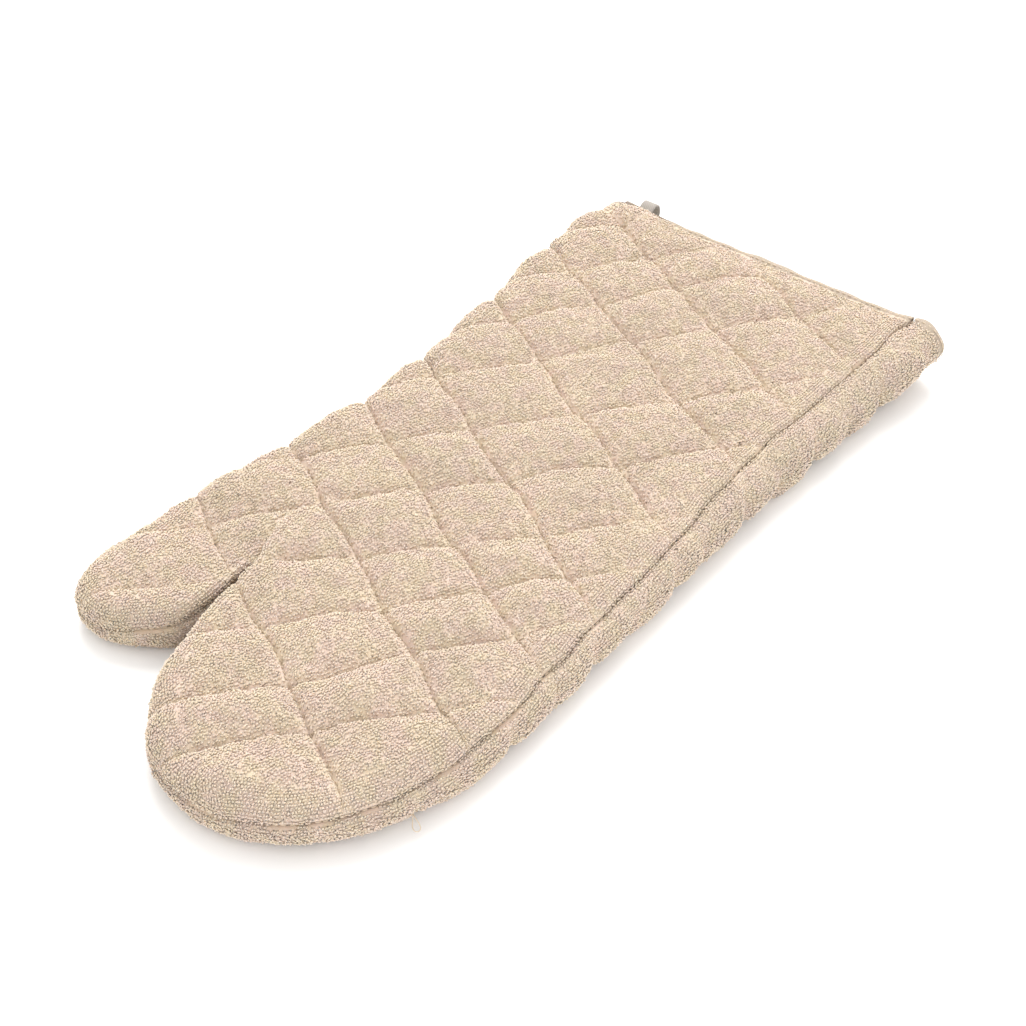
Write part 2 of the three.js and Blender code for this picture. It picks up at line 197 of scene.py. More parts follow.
def surface(station, side, depth, distance):
    """Points of a panel at a depth in the cloth and a distance from the seam: an ellipse of the rim's width
    and half the mitt's height turned through the share of its angle, then straight on over the flat."""
    x, y, in_x, in_y, seam, rim = station
    arc = rim_arc(station, side)
    angle = seam + side * (math.pi / 2 - side * seam) * np.minimum(distance / arc, 1)
    inwards = depth + (rim - depth) * (1 - np.cos(angle)) + np.maximum(distance - arc, 0)
    px, py = x + in_x * inwards, y + in_y * inwards
    half = half_height(px, py)
    lift = 5.0 * smoothstep(150, 214, py) * smoothstep(58, 84, px)
    return np.stack([px, py, half + (half - depth) * np.sin(angle) + lift], axis=-1)


def quilt_cells(x, y, rows):
    """For one set of rows: the share of the way between the two nearest rows, the distance to the nearer
    one, the place along it and the number of the cell."""
    angle, places = rows
    turn = math.radians(angle)
    along = x * math.cos(turn) + y * math.sin(turn)
    across = -x * math.sin(turn) + y * math.cos(turn)
    wander = 0.8 * ripple(x, y, 60, abs(int(angle)) + 3)
    offsets = np.stack([across + wander - (start + lean * along / 100) for start, lean in places])
    cell = np.clip((offsets > 0).sum(axis=0) - 1, 0, len(places) - 2)
    below = np.take_along_axis(offsets, cell[None], axis=0)[0]
    above = np.take_along_axis(offsets, cell[None] + 1, axis=0)[0]
    share = np.clip(below / (below - above), 0, 1)
    sewn_below, sewn_above = cell > 0, cell < len(places) - 2
    near = np.minimum(np.where(sewn_below, np.abs(below), 1e3), np.where(sewn_above, np.abs(above), 1e3))
    return share, near, along, cell


def both_rows(x, y, side):
    """What quilt_cells says for a panel's rows along the mitt and for its rows across."""
    return [quilt_cells(x, y, ROWS[side][word]) for word in ("along", "across")]


def quilt_height(x, y, from_seam, side):
    """How far the quilted skin stands off the plain one: a pillow in each cell, the root of the sines of
    both shares, sunk at the rows and puckered beside them, and flattened towards the seam."""
    (a, near_a, along_a, cell_a), (b, near_b, along_b, cell_b) = both_rows(x, y, side)
    gain = 0.82 + 0.36 * np.mod(np.sin(cell_a * 12.9898 + cell_b * 78.233 + side) * 43758.5453, 1)
    leaning = b ** 1.3 if side == FRONT else b
    pillow = (np.sin(math.pi * a) ** 0.9 * np.sin(math.pi * leaning)) ** 0.5
    height = PILLOW_RISE * gain * pillow - ROW_SINK
    shallow = 1 - 0.8 * smoothstep(TERRY_END - 18, TERRY_END - 4, y)
    for near, along, phase, cut in ((near_a, along_a, 0.0, 1.9), (near_b, along_b, 2.0, 0.9)):
        height -= cut * shallow * np.exp(-((near / 1.5) ** 2))
        pucker = np.sin(along * math.tau / 7.5 + phase + 1.6 * ripple(x, y, 30, 41))
        height += 0.7 * pucker * np.exp(-near / 5.5) * (1 - np.exp(-near / 1.5))
    height += 0.6 * ripple(x, y, 26, 5 + side) * pillow + 0.25 * ripple(x, y, 11, 9 + side)
    left = smoothstep(-40, -80, x) if side == FRONT else 1.0
    calm, reach = 0.42 - 0.26 * left, 26 + 14 * left
    height *= calm + (1 - calm) * smoothstep(3, reach, from_seam)
    height *= 1 - np.exp(-((from_seam / 5.5) ** 1.5))
    corner = np.exp(-((from_seam / 22) ** 2)) * (x < 0)
    press = smoothstep(TERRY_END - 14, TERRY_END - 3, y - 4 * corner)
    tucked = 0.4 * smoothstep(TERRY_END + 0.6, TUCK_START, y) + 1.5 * smoothstep(TUCK_START, PANEL_END, y)
    height = height * (1 - press) - 0.9 * press - tucked
    if side == FRONT:
        puff = np.exp(-(((x + 87) / 12) ** 2) - ((y - 206) / 8) ** 2)
        height += 4.8 * puff * (1 - smoothstep(TERRY_END, 215.0, y))
        out_x, out_y = x - NOTCH[0], y - NOTCH[1]
        t = np.clip((out_x * CREASE[0] + out_y * CREASE[1]) / (CREASE[0] ** 2 + CREASE[1] ** 2), 0, 1)
        fold = np.hypot(out_x - CREASE[0] * t, out_y - CREASE[1] * t)
        height -= 3.4 * (1 - 0.5 * t) * np.exp(-((fold / 2.4) ** 2))
        aside = out_x - CREASE[0] * np.clip(out_y / CREASE[1], 0, 1)
        free = (1 - np.exp(-((from_seam / 4) ** 1.5))) * np.exp(-(((y + 98) / 24) ** 2))
        height += free * (2.4 * np.exp(-(((aside - 8) / 6) ** 2)) - 1.6 * np.exp(-(((aside + 6) / 5) ** 2)))
    return height


# --- meshes --------------------------------------------------------------------------------------------

def make_object(name, points, faces, material, body="mitt", attributes=(), uv=None):
    """A mesh object at the origin from points in the drawing's coordinates. faces is a list of arrays, each
    of one number of corners, or of plain lists."""
    mesh = bpy.data.meshes.new(name)
    corners = np.concatenate([np.asarray(f).ravel() for f in faces]).astype(np.int32)
    sizes = np.concatenate([
        np.full(len(f), f.shape[1]) if isinstance(f, np.ndarray) else np.array([len(f)]) for f in faces
    ]).astype(np.int32)
    mesh.vertices.add(len(points))
    mesh.vertices.foreach_set("co", ((points - ORIGIN) * 0.001).astype(np.float32).ravel())
    mesh.loops.add(len(corners))
    mesh.loops.foreach_set("vertex_index", corners)
    mesh.polygons.add(len(sizes))
    mesh.polygons.foreach_set("loop_start", np.concatenate([[0], np.cumsum(sizes)[:-1]]).astype(np.int32))
    mesh.update(calc_edges=True)
    mesh.validate()
    mesh.polygons.foreach_set("use_smooth", np.full(len(mesh.polygons), True))
    for label, values in attributes:
        attribute = mesh.attributes.new(label, "FLOAT", "POINT")
        attribute.data.foreach_set("value", values.astype(np.float32))
    if uv is not None:
        layer = mesh.uv_layers.new(name="cloth")
        index = np.empty(len(mesh.loops), dtype=np.int32)
        mesh.loops.foreach_get("vertex_index", index)
        layer.data.foreach_set("uv", uv[index].astype(np.float32).ravel())
    mesh.materials.append(material)
    made = bpy.data.objects.new(name, mesh)
    bpy.context.scene.collection.objects.link(made)
    if body:
        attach(made, body)
    return made


def vertex_normals(points, faces):
    """Area-weighted normals at every point of quads: the cross product of each quad's diagonals."""
    normal = np.zeros_like(points)
    for quads in faces:
        q = points[quads]
        face = np.cross(q[:, 2] - q[:, 0], q[:, 3] - q[:, 1])
        for k in range(4):
            for axis in range(3):
                normal[:, axis] += np.bincount(quads[:, k], face[:, axis], len(points))
    return unit(normal)


def quads_over(number):
    """Quads over a grid of point numbers."""
    corners = [number[:-1, :-1], number[:-1, 1:], number[1:, 1:], number[1:, :-1]]
    return np.stack(corners, axis=-1).reshape(-1, 4)


def ring_faces(rows, columns):
    """Quads over rows of points numbered row by row, each row joined to itself."""
    number = np.arange(rows * columns).reshape(rows, columns)
    return quads_over(np.concatenate([number, number[:, :1]], axis=1))


def beans(centre, along, normal, length, thick, rise, sides=3):
    """Short bent yarns, closed at both ends: a tip, two rings and a tip each, arched over the cloth.
    Returns points, triangles and each point's share of the way up."""
    count = len(centre)
    across = unit(np.cross(normal, along))
    length, thick, rise = (np.broadcast_to(v, count)[:, None] for v in (length, thick, rise))
    turn = np.arange(sides) * math.tau / sides + math.pi / 2
    tip_a = centre - along * length * 0.5 - normal * rise * 0.35
    tip_b = centre + along * length * 0.5 - normal * rise * 0.35
    rings = []
    for sign in (-1, 1):
        middle = centre + along * (sign * 0.24) * length + normal * rise * 0.6
        lift = (normal * 0.92 - along * sign * 0.4) * thick / 2
        ring = [middle + across * math.cos(a) * thick / 2 + lift * math.sin(a) for a in turn]
        rings.append(np.stack(ring, axis=1))
    points = np.concatenate([tip_a[:, None], rings[0], rings[1], tip_b[:, None]], axis=1)
    one = []
    for k in range(sides):
        n = (k + 1) % sides
        one += [(0, 1 + n, 1 + k), (1 + k, 1 + n, 1 + sides + n), (1 + k, 1 + sides + n, 1 + sides + k),
                (2 * sides + 1, 1 + sides + k, 1 + sides + n)]
    stride = 2 * sides + 2
    faces = (np.arange(count)[:, None, None] * stride + np.array(one)[None]).reshape(-1, 3)
    up = np.concatenate([[0.0], np.ones(2 * sides), [0.0]])
    return points.reshape(-1, 3), faces, np.tile(up, count)


def tube(path, radius, sides=6):
    """A round tube along a path of points, closed by a face at both ends."""
    path = np.asarray(path, dtype=float)
    tangent = unit(np.gradient(path, axis=0))
    reference = np.where(np.abs(tangent[:, 2:3]) < 0.9, [[0, 0, 1.0]], [[1.0, 0, 0]])
    side = unit(np.cross(tangent, reference))
    up = np.cross(side, tangent)
    turn = np.arange(sides) * math.tau / sides
    ring = side[:, None] * np.cos(turn)[None, :, None] + up[:, None] * np.sin(turn)[None, :, None]
    points = (path[:, None] + ring * radius).reshape(-1, 3)
    faces = ring_faces(len(path), sides)[:, ::-1]
    return points, [faces, list(range(sides)), list(range(len(points) - 1, len(points) - 1 - sides, -1))]


# --- the quilted panels --------------------------------------------------------------------------------

STATIONS = outline_stations()
STATIONS = STATIONS[:, STATIONS[1] <= CUFF_Y]


def stations_at(place):
    """The outline's stations at fractional numbers."""
    return np.stack([np.interp(place, np.arange(STATIONS.shape[1]), row) for row in STATIONS])


def inside_rows(polygon, ys, xs):
    """Which points of a grid are inside a polygon, by counting its edges left of each point."""
    x0, y0 = polygon[:, 0], polygon[:, 1]
    x1, y1 = np.roll(x0, -1), np.roll(y0, -1)
    result = np.zeros((len(ys), len(xs)), dtype=bool)
    for row, y in enumerate(ys):
        cut = (y0 <= y) != (y1 <= y)
        crossing = np.sort(x0[cut] + (y - y0[cut]) * (x1[cut] - x0[cut]) / (y1[cut] - y0[cut]))
        result[row] = np.searchsorted(crossing, xs) % 2 == 1
    return result


def lattice_border(kept):
    """Grid points round the kept cells, in order from the cuff's right to its left, leaving the cuff out."""
    rows, columns = kept.shape
    wide = np.zeros((rows + 2, columns + 2), dtype=bool)
    wide[1:-1, 1:-1] = kept
    steps = {}
    for shift, first, second in (((0, 1), (0, 1), (1, 1)), ((1, 0), (1, 1), (1, 0)),
                                 ((0, -1), (1, 0), (0, 0)), ((-1, 0), (0, 0), (0, 1))):
        bare = kept & ~wide[1 + shift[0]:rows + 1 + shift[0], 1 + shift[1]:columns + 1 + shift[1]]
        if shift == (-1, 0):
            bare = bare & (np.arange(rows) > 0)[:, None]
        for r, c in zip(*np.nonzero(bare)):
            steps.setdefault((r + first[0], c + first[1]), []).append((r + second[0], c + second[1]))
    ends = {e for many in steps.values() for e in many}
    at = max((s for s in steps if s not in ends and s[0] == 0), key=lambda s: s[1])
    border = [at]
    while steps.get(at):
        at = steps[at].pop(0)
        border.append(at)
    return np.array(border)


def nearest(points, targets):
    """Number of and distance to the nearest target of each point, in slices to spare memory."""
    number, distance = [], []
    for part in np.array_split(points.astype(np.float32), max(len(points) // 4000, 1)):
        gap = ((part[:, None] - targets[None].astype(np.float32)) ** 2).sum(axis=2)
        number.append(gap.argmin(axis=1))
        distance.append(np.sqrt(gap.min(axis=1)))
    return np.concatenate(number), np.concatenate(distance)


def panel_skin(side, pitch, ring_list, rim_rings, depth=0.0):
    """The plain skin of one panel as a grid over its flat and a band round its edge. ring_list gives
    (depth, distance) of the band's first rings; more rings follow at even distances up to the flat."""
    flat_start = np.maximum(rim_arc(STATIONS, side), SHORTEST_RIM)
    contour = surface(STATIONS, side, depth, flat_start)
    ys = PANEL_END - pitch * np.arange(int((CUFF_Y - TIP_Y) / pitch) + 1)
    xs = np.arange(-130.0, 85.0, pitch)
    inside = inside_rows(contour[:, :2], ys, xs)
    kept = inside[:-1, :-1] & inside[:-1, 1:] & inside[1:, :-1] & inside[1:, 1:]
    border = lattice_border(kept)
    used = np.zeros(inside.shape, dtype=bool)
    for dr in (0, 1):
        for dc in (0, 1):
            used[dr:dr + kept.shape[0], dc:dc + kept.shape[1]] |= kept
    number = np.full(inside.shape, -1)
    number[used] = np.arange(used.sum())
    gy, gx = np.meshgrid(ys, xs, indexing="ij")
    half = half_height(gx[used], gy[used])
    flat_points = np.stack([gx[used], gy[used], half + side * (half - depth)], axis=-1)
    station_of, away = nearest(flat_points[:, :2], contour[:, :2])
    flat_distance = flat_start[station_of] + away
    rim_numbers = number[border[:, 0], border[:, 1]]
    place = np.maximum.accumulate(station_of[rim_numbers].astype(float))
    place[0], place[-1] = 0, STATIONS.shape[1] - 1
    place = np.convolve(np.pad(place, 3, mode="edge"), np.ones(7) / 7, "valid")
    band = stations_at(place)
    end = np.maximum(rim_arc(band, side), SHORTEST_RIM)
    rings, distances = [], []
    for ring_depth, distance in ring_list:
        rings.append(surface(band, side, ring_depth, np.full(end.shape, float(distance))))
        distances.append(np.full(end.shape, float(distance)))
    last = ring_list[-1][1]
    for k in range(1, rim_rings + 1):
        distance = last + (end - last) * k / rim_rings
        rings.append(surface(band, side, depth, distance))
        distances.append(distance)
    points = np.concatenate([flat_points, *rings])
    from_seam = np.concatenate([flat_distance, *distances])
    band_numbers = len(flat_points) + np.arange(len(rings) * len(place)).reshape(len(rings), -1)
    whole = np.concatenate([band_numbers, rim_numbers[None]])
    r, c = np.nonzero(kept)
    flat_quads = np.stack([number[r, c], number[r + 1, c], number[r + 1, c + 1], number[r, c + 1]], axis=-1)
    band_corners = [whole[:-1, :-1], whole[1:, :-1], whole[1:, 1:], whole[:-1, 1:]]
    band_quads = np.stack(band_corners, axis=-1).reshape(-1, 4)
    if side == BACK:
        flat_quads, band_quads = flat_quads[:, ::-1], band_quads[:, ::-1]
    return {
        "points": points, "from_seam": from_seam, "flat": number, "kept": kept, "xs": xs,
        "band": whole, "quads": [flat_quads, band_quads], "edge": band, "end": end,
        "cuff_row": number[0][number[0] >= 0],
    }


def fold_rings():
    """The band's first rings: the panel's inner face, its edge turned in at the seam, and the fold."""
    turned = [(INNER_DEPTH, INNER_START), (9.4, 2.5), (9.9, 1.5), (9.4, SEAM_GAP), (7.5, SEAM_GAP),
              (5.5, SEAM_GAP), (FOLD + 0.6, SEAM_GAP)]
    turns = np.linspace(0.12, 1, 7) * math.pi / 2
    fold = [(FOLD * (1 - math.sin(a)), SEAM_GAP + FOLD * (1 - math.cos(a))) for a in turns]
    return turned + fold, len(turned)


def sample(grid_points, grid_normals, row, column):
    """Points and normals of a grid at fractional places, from their four neighbours."""
    r0, c0 = np.floor(row).astype(int), np.floor(column).astype(int)
    r0, c0 = np.clip(r0, 0, grid_points.shape[0] - 2), np.clip(c0, 0, grid_points.shape[1] - 2)
    fr, fc = (row - r0)[:, None], (column - c0)[:, None]
    result = []
    for grid in (grid_points, grid_normals):
        result.append(grid[r0, c0] * (1 - fr) * (1 - fc) + grid[r0, c0 + 1] * (1 - fr) * fc
                      + grid[r0 + 1, c0] * fr * (1 - fc) + grid[r0 + 1, c0 + 1] * fr * fc)
    return result[0], unit(result[1])


def loop_places(skin, points, normals, first_ring):
    """Where the terry's loops stand: staggered rows over the flat grid and, in the seam's direction, over
    the band. Returns their points, normals and distances from the seam, which stop mattering past 40."""
    pitch_y, pitch_x = LOOP_PITCH * 0.94, LOOP_PITCH
    rows = np.arange(0.3, (CUFF_Y - TIP_Y), pitch_y) / LATTICE
    columns = np.arange(0.5, len(skin["xs"]) * LATTICE - 2, pitch_x) / LATTICE
    r, c = np.meshgrid(rows, columns, indexing="ij")
    c = c + (np.arange(len(rows)) % 2)[:, None] * pitch_x / LATTICE / 2
    r = (r + rng.normal(0, 0.2, r.shape)).ravel()
    c = (c + rng.normal(0, 0.2, c.shape)).ravel()
    cell_r, cell_c = np.floor(r).astype(int), np.floor(c).astype(int)
    ok = (cell_r >= 0) & (cell_r < skin["kept"].shape[0]) & (cell_c >= 0) & (cell_c < skin["kept"].shape[1])
    r, c, cell_r, cell_c = r[ok], c[ok], cell_r[ok], cell_c[ok]
    ok = skin["kept"][cell_r, cell_c]
    flat_points, flat_normals = points[skin["flat"]], normals[skin["flat"]]
    over_flat = sample(flat_points, flat_normals, r[ok], c[ok])
    band = skin["band"][first_ring:]
    band_points, band_normals = points[band], normals[band]
    steps = np.concatenate([np.zeros((1, band_points.shape[1])),
                            np.cumsum(np.linalg.norm(np.diff(band_points, axis=0), axis=2), axis=0)])
    column = np.arange(band_points.shape[1])
    places, ups, levels = [over_flat[0]], [over_flat[1]], [np.full(len(over_flat[0]), 40.0)]
    for number, level in enumerate(np.arange(0.8, steps[-1].max(), pitch_x * 0.92)):
        ring = (steps < level).sum(axis=0) - 1
        real = ring < len(band) - 1
        ring = np.minimum(ring, len(band) - 2)
        gap = steps[ring + 1, column] - steps[ring, column]
        part = (level - steps[ring, column]) / np.maximum(gap, 1e-6)
        path = (band_points[ring, column] * (1 - part)[:, None]
                + band_points[ring + 1, column] * part[:, None])
        stride = np.linalg.norm(np.diff(path, axis=0), axis=1) * (real[:-1] & real[1:])
        run = np.concatenate([[0], np.cumsum(stride)])
        at = np.arange(0.5 + (number % 2) * pitch_y / 2, run[-1] - 0.3, pitch_y)
        at = at + rng.normal(0, 0.26, at.shape)
        chosen = np.interp(at, run, column)
        height = np.interp(chosen, column, ring + part) + rng.normal(0, 0.22, at.shape)
        found = sample(band_points, band_normals, np.clip(height, 0, len(band) - 1.001), chosen)
        if level < 1.6:
            shut = ripple(found[0][:, 0], found[0][:, 1], 24, 61) > -0.7
            found = [v[shut] for v in found]
        places.append(found[0])
        ups.append(found[1])
        levels.append(np.full(len(found[0]), level))
    return np.concatenate(places), np.concatenate(ups), np.concatenate(levels)


def standing_loops(skin, points, normals, first_ring, side):
    """Every terry loop of a panel, left out over the sewn rows, low by them and long at the outer edge.
    Returns points, triangles, each point's painted shade (darker at the loop's roots and by the seam's
    groove) and tint."""
    places, ups, levels = loop_places(skin, points, normals, first_ring)
    near_a, near_b = (cells[1] for cells in both_rows(places[:, 0], places[:, 1], side))
    seam_edge = nearest(places[:, :2], STATIONS[:2].T)[1]
    corner = np.exp(-((seam_edge / 16) ** 2)) * (places[:, 0] < 0)
    sewn = ((levels > 9) if side == FRONT else (levels > 26)) & (places[:, 1] < TERRY_END - 7)
    puffed = np.exp(-(((places[:, 0] + 87) / 14) ** 2)) * (side == FRONT)
    covered = places[:, 1] < TERRY_END + np.maximum(3.6 * corner, 2.6 * puffed)
    keep = ~(sewn & ((near_a < 0.8) | (near_b < 0.45))) & covered
    places, ups, levels, seam_edge = places[keep], ups[keep], levels[keep], seam_edge[keep]
    near = np.minimum(near_a, near_b)[keep]
    count = len(places)
    heading = math.pi / 2 + rng.normal(0, 0.5, count)
    along = np.stack([np.cos(heading), np.sin(heading), np.zeros(count)], axis=1)
    along = unit(along - ups * (along * ups).sum(axis=1, keepdims=True))
    wild = np.exp(-seam_edge / 7)
    lean = unit(ups + rng.normal(0, 0.2, (count, 3)) * (1 + 0.8 * wild)[:, None])
    thick = rng.uniform(0.8, 1.05, count)
    wale = np.sin((places[:, 0] * 0.62 + places[:, 1] * 0.79) * math.tau / 2.6
                  + 1.5 * ripple(places[:, 0], places[:, 1], 38, 71))
    rise = rng.uniform(0.6, 1.0, count) * (0.55 + 0.45 * smoothstep(0.6, 3.0, near)) * (1 + 0.2 * wale)
    rise *= 1 + 0.8 * wild * rng.uniform(0, 1, count) ** 2
    rise = np.where(places[:, 2] < 3.0, 0.5, rise)
    loops, loop_faces, loop_up = beans(places, along, lean, rng.uniform(1.6, 2.2, count), thick, rise)
    loops[:, 2] = np.maximum(loops[:, 2], 0.02)
    # Painted shade: each loop darker at its roots, and darker still near the seam's groove.
    painted_groove_shade = np.repeat(0.55 + 0.45 * smoothstep(0.5, 4.5, levels), 8)
    tint = rng.uniform(0.1, 0.9, count) + 0.22 * wale
    return loops, loop_faces, (loop_up * 0.7 + 0.3) * painted_groove_shade, np.repeat(tint, 8)


def terry_panel(name, side, material):
    """One quilted panel, closed: the displaced skin with its turned-in edge, its plain inner face, and the
    terry loops. Returns the object, the skin and its displaced points."""
    first, fold_start = fold_rings()
    skin = panel_skin(side, LATTICE, first, RIM_RINGS)
    points, quads = skin["points"], skin["quads"]
    normals = vertex_normals(points, quads)
    height = quilt_height(points[:, 0], points[:, 1], skin["from_seam"], side)
    hidden = skin["band"][:fold_start].ravel()
    height[hidden] = 0
    points = points + normals * height[:, None]
    points[:, 2] = np.maximum(points[:, 2], 0.9)
    normals = vertex_normals(points, quads)
    rings = skin["band"]
    inner_flat = np.concatenate([
        surface(skin["edge"], side, INNER_DEPTH, INNER_START + (skin["end"] - INNER_START) * part)
        for part in np.linspace(1, 0.12, 8)
    ])
    inner_rings = len(points) + np.arange(len(inner_flat)).reshape(8, -1)
    inner_rings = np.concatenate([inner_rings, rings[:1]])
    inner_corners = [inner_rings[:-1, :-1], inner_rings[1:, :-1], inner_rings[1:, 1:], inner_rings[:-1, 1:]]
    inner_strip = np.stack(inner_corners, axis=-1).reshape(-1, 4)
    if side == BACK:
        inner_strip = inner_strip[:, ::-1]
    cuff = [*inner_rings[:-1, 0], *rings[:-1, 0], *skin["cuff_row"][::-1], *rings[:-1, -1][::-1],
            *inner_rings[:-1, -1][::-1]]
    inner_face = list(inner_rings[0])
    if side == FRONT:
        cuff = cuff[::-1]
    else:
        inner_face = inner_face[::-1]
    body_points = np.concatenate([points, inner_flat])
    loops, loop_faces, loop_painted_shade, loop_tint = standing_loops(skin, points, normals, fold_start + 1, side)
    # Painted shade: the plain skin and the inner face darker than the loop tops, darkest along the seam's
    # groove.
    groove = 0.25 + 0.75 * smoothstep(0.3, 4.0, skin["from_seam"])
    skin_painted_shade = np.concatenate([0.3 * groove, np.full(len(inner_flat), 0.3)])
    painted_pile_shade = np.concatenate([skin_painted_shade, loop_painted_shade])
    tint = np.concatenate([np.full(len(body_points), 0.5), loop_tint])
    faces = [*quads, inner_strip, inner_face, cuff, loop_faces + len(body_points)]
    made = make_object(name, np.concatenate([body_points, loops]), faces, material,
                       attributes=(("painted_pile_shade", painted_pile_shade), ("tint", tint)))
    return made, skin, points


# --- threads, tapes and the lining ---------------------------------------------------------------------

def surface_under(skin, points):
    """A search tree over a panel's displaced skin, before its loops."""
    quads = np.concatenate(skin["quads"])
    return BVHTree.FromPolygons(points.tolist(), quads.tolist())


def quilting_stitches(name, side, skin, points, material):
    """Lockstitches along every row of quilting, each a short bean of thread laid in the row's groove."""
    tree = surface_under(skin, points)
    centres, alongs, ups = [], [], []
    for angle, places in ROWS[side].values():
        turn = math.radians(angle)
        ahead = np.array([math.cos(turn), math.sin(turn)])
        across = np.array([-math.sin(turn), math.cos(turn)])
        u = np.arange(-330, 330, STITCH)
        for start, lean in places[1:-1]:
            line = u[:, None] * ahead + (start + lean * u / 100)[:, None] * across
            wander = 0.8 * ripple(line[:, 0], line[:, 1], 60, abs(int(angle)) + 3)
            line = line - wander[:, None] * across
            ok = (line[:, 1] < BINDING_START - 3) & (np.abs(line[:, 0] + 22) < 105) & (line[:, 1] > TIP_Y)
            for x, y in line[ok]:
                hit, up, _, _ = tree.ray_cast(Vector((x, y, 15 + 40 * side)), Vector((0, 0, -side)))
                if hit is not None and up.z * side > 0.35:
                    centres.append(hit)
                    ups.append(up)
                    alongs.append((*ahead, 0.0))
    centres, ups, alongs = (np.array(v) for v in (centres, ups, alongs))
    alongs = unit(alongs - ups * (alongs * ups).sum(axis=1, keepdims=True))
    centres = centres + ups * 0.25
    thread, faces, _ = beans(centres, alongs, ups, STITCH * 1.02, 0.62, 0.5, 5)
    thread[:, 2] = np.maximum(thread[:, 2], 0.15)
    return make_object(name, thread, [faces], material)


def seam_stitches(material):
    """The side seam's stitches between the panels, and one loose end of thread by the fingertips."""
    step = np.arange(2, STATIONS.shape[1] - 12, STITCH).astype(int)
    station = STATIONS[:, step]
    middle = surface(station, FRONT, 2.6, np.zeros(len(step)))
    ahead = unit(surface(STATIONS[:, step + 1], FRONT, 2.6, np.zeros(len(step))) - middle)
    outer = unit(surface(station, FRONT, 0.0, np.zeros(len(step))) - middle)
    points, faces, _ = beans(middle, ahead, outer, STITCH, 0.6, 0.5, 5)
    near = np.argmin(np.hypot(STATIONS[0] - 70, STATIONS[1] + 162))
    root = surface(STATIONS[:, near:near + 1], BACK, 0.5, np.full(1, 13.0))[0]
    t = np.linspace(0, 1, 28)
    out, aside = np.array([0.82, -0.57, 0]), np.array([0.57, 0.82, 0])
    path = (root + out * (6.5 * np.sin(t * math.pi) ** 0.8)[:, None]
            + aside * (1.5 * np.sin(t * math.tau))[:, None]
            + np.array([0, 0, -3.5]) * np.sin(t * math.pi)[:, None] ** 0.7)
    path[:, 2] = np.maximum(path[:, 2], 0.4)
    stray, stray_faces = tube(path, 0.2, 6)
    faces = [faces, stray_faces[0] + len(points)]
    faces += [[v + len(points) for v in end] for end in stray_faces[1:]]
    return make_object("side_seam_stitches", np.concatenate([points, stray]), faces, material)


def overlock_stitches(material):
    """The overlock thread: a zigzag wound over the seam's turned-in edges, carried along the seam."""
    step = np.linspace(2, STATIONS.shape[1] - 14, 1500)
    band = stations_at(step)
    turn = np.arange(len(step)) * math.tau / 6
    seam = surface(band, FRONT, 8.0, np.zeros(len(step)))
    deeper = unit(surface(band, FRONT, 9.0, np.zeros(len(step))) - seam)
    ahead = unit(np.gradient(seam, axis=0))
    across = np.cross(deeper, ahead)
    path = seam + deeper * (1.0 + 1.9 * np.cos(turn))[:, None] + across * (3.3 * np.sin(turn))[:, None]
    points, faces = tube(path, 0.22, 5)
    return make_object("seam_overlock_stitches", points, faces, material)


def cuff_section(side, depth, u):
    """Points of the mitt's section at the cuff, from its right seam (u 0) to its left one (u 1), at a depth:
    round the right rim, straight across the flat and round the left rim."""
    ends = STATIONS[:, [0, -1]]
    arcs = rim_arc(ends, side)
    flat_left = ends[0, 0] - ends[5, 0]
    flat_right = ends[0, 1] + ends[5, 1]
    total = arcs[0] + (flat_left - flat_right) + arcs[1]
    at = np.asarray(u) * total
    from_right = surface(ends[:, :1], side, depth, at)
    from_left = surface(ends[:, 1:], side, depth, total - at)
    flat = (at - arcs[0]) / (flat_left - flat_right)
    share = smoothstep(0.1, 0.9, flat)[:, None]
    return from_right * (1 - share) + from_left * share, at


def cuff_binding(name, side, material):
    """The folded tape over a panel's cuff edge: a U with rounded corners carried across the section, with a
    little give, and closed at both seams. The UV map runs along and across the tape in metres."""
    reach = BINDING_END - 1.1
    legs = np.array([(BINDING_START + 1, 2.6), (BINDING_START + 3, 2.4), (BINDING_START + 5, 1.6),
                     (213.0, 0.9), (214.6, 1.1), (215.6, 2.2), (reach, 4.2), (reach, 6.6), (215.6, 8.2),
                     (214.4, 9.0), (212.5, 9.2), (BINDING_START, 9.2)])
    tangent = unit(np.gradient(legs, axis=0))
    out = np.stack([tangent[:, 1], -tangent[:, 0]], axis=1)
    profile = np.concatenate([legs + out * 0.4, (legs - out * 0.4)[::-1]])
    tape_along = np.concatenate([[0], np.cumsum(np.linalg.norm(np.diff(legs, axis=0), axis=1))])
    tape_along = np.concatenate([tape_along, tape_along[::-1]])
    u = np.linspace(0.004, 0.996, 260)
    points, uv = [], []
    for (y, depth), across in zip(profile, tape_along):
        middle, at = cuff_section(side, depth, u)
        middle[:, 1] = y + 0.3 * np.clip(ripple(at, at * 0, 24, 31 + side), -0.8, 2.0)
        give = 0.3 * ripple(at, at * 0 + across * 0.2, 17, 33 + side) if depth < 5 else 0 * at
        inner, _ = cuff_section(side, depth + 1, u)
        inner[:, 1] = middle[:, 1]
        points.append(middle + (middle - inner) * give[:, None])
        uv.append(np.stack([at, np.full(len(at), across)], axis=1) * 0.001)
    rows, columns = len(profile), len(u)
    grid = np.stack(points)
    number = np.arange(rows * columns).reshape(rows, columns)
    wrapped = np.concatenate([number, number[:1]])
    quads = quads_over(wrapped)
    ends = [list(number[:, 0]), list(number[::-1, -1])]
    if side == FRONT:
        quads = quads[:, ::-1]
        ends = [e[::-1] for e in ends]
    made = make_object(name, grid.reshape(-1, 3), [quads, *ends], material, uv=np.concatenate(uv))
    turn_outwards(made)
    return made


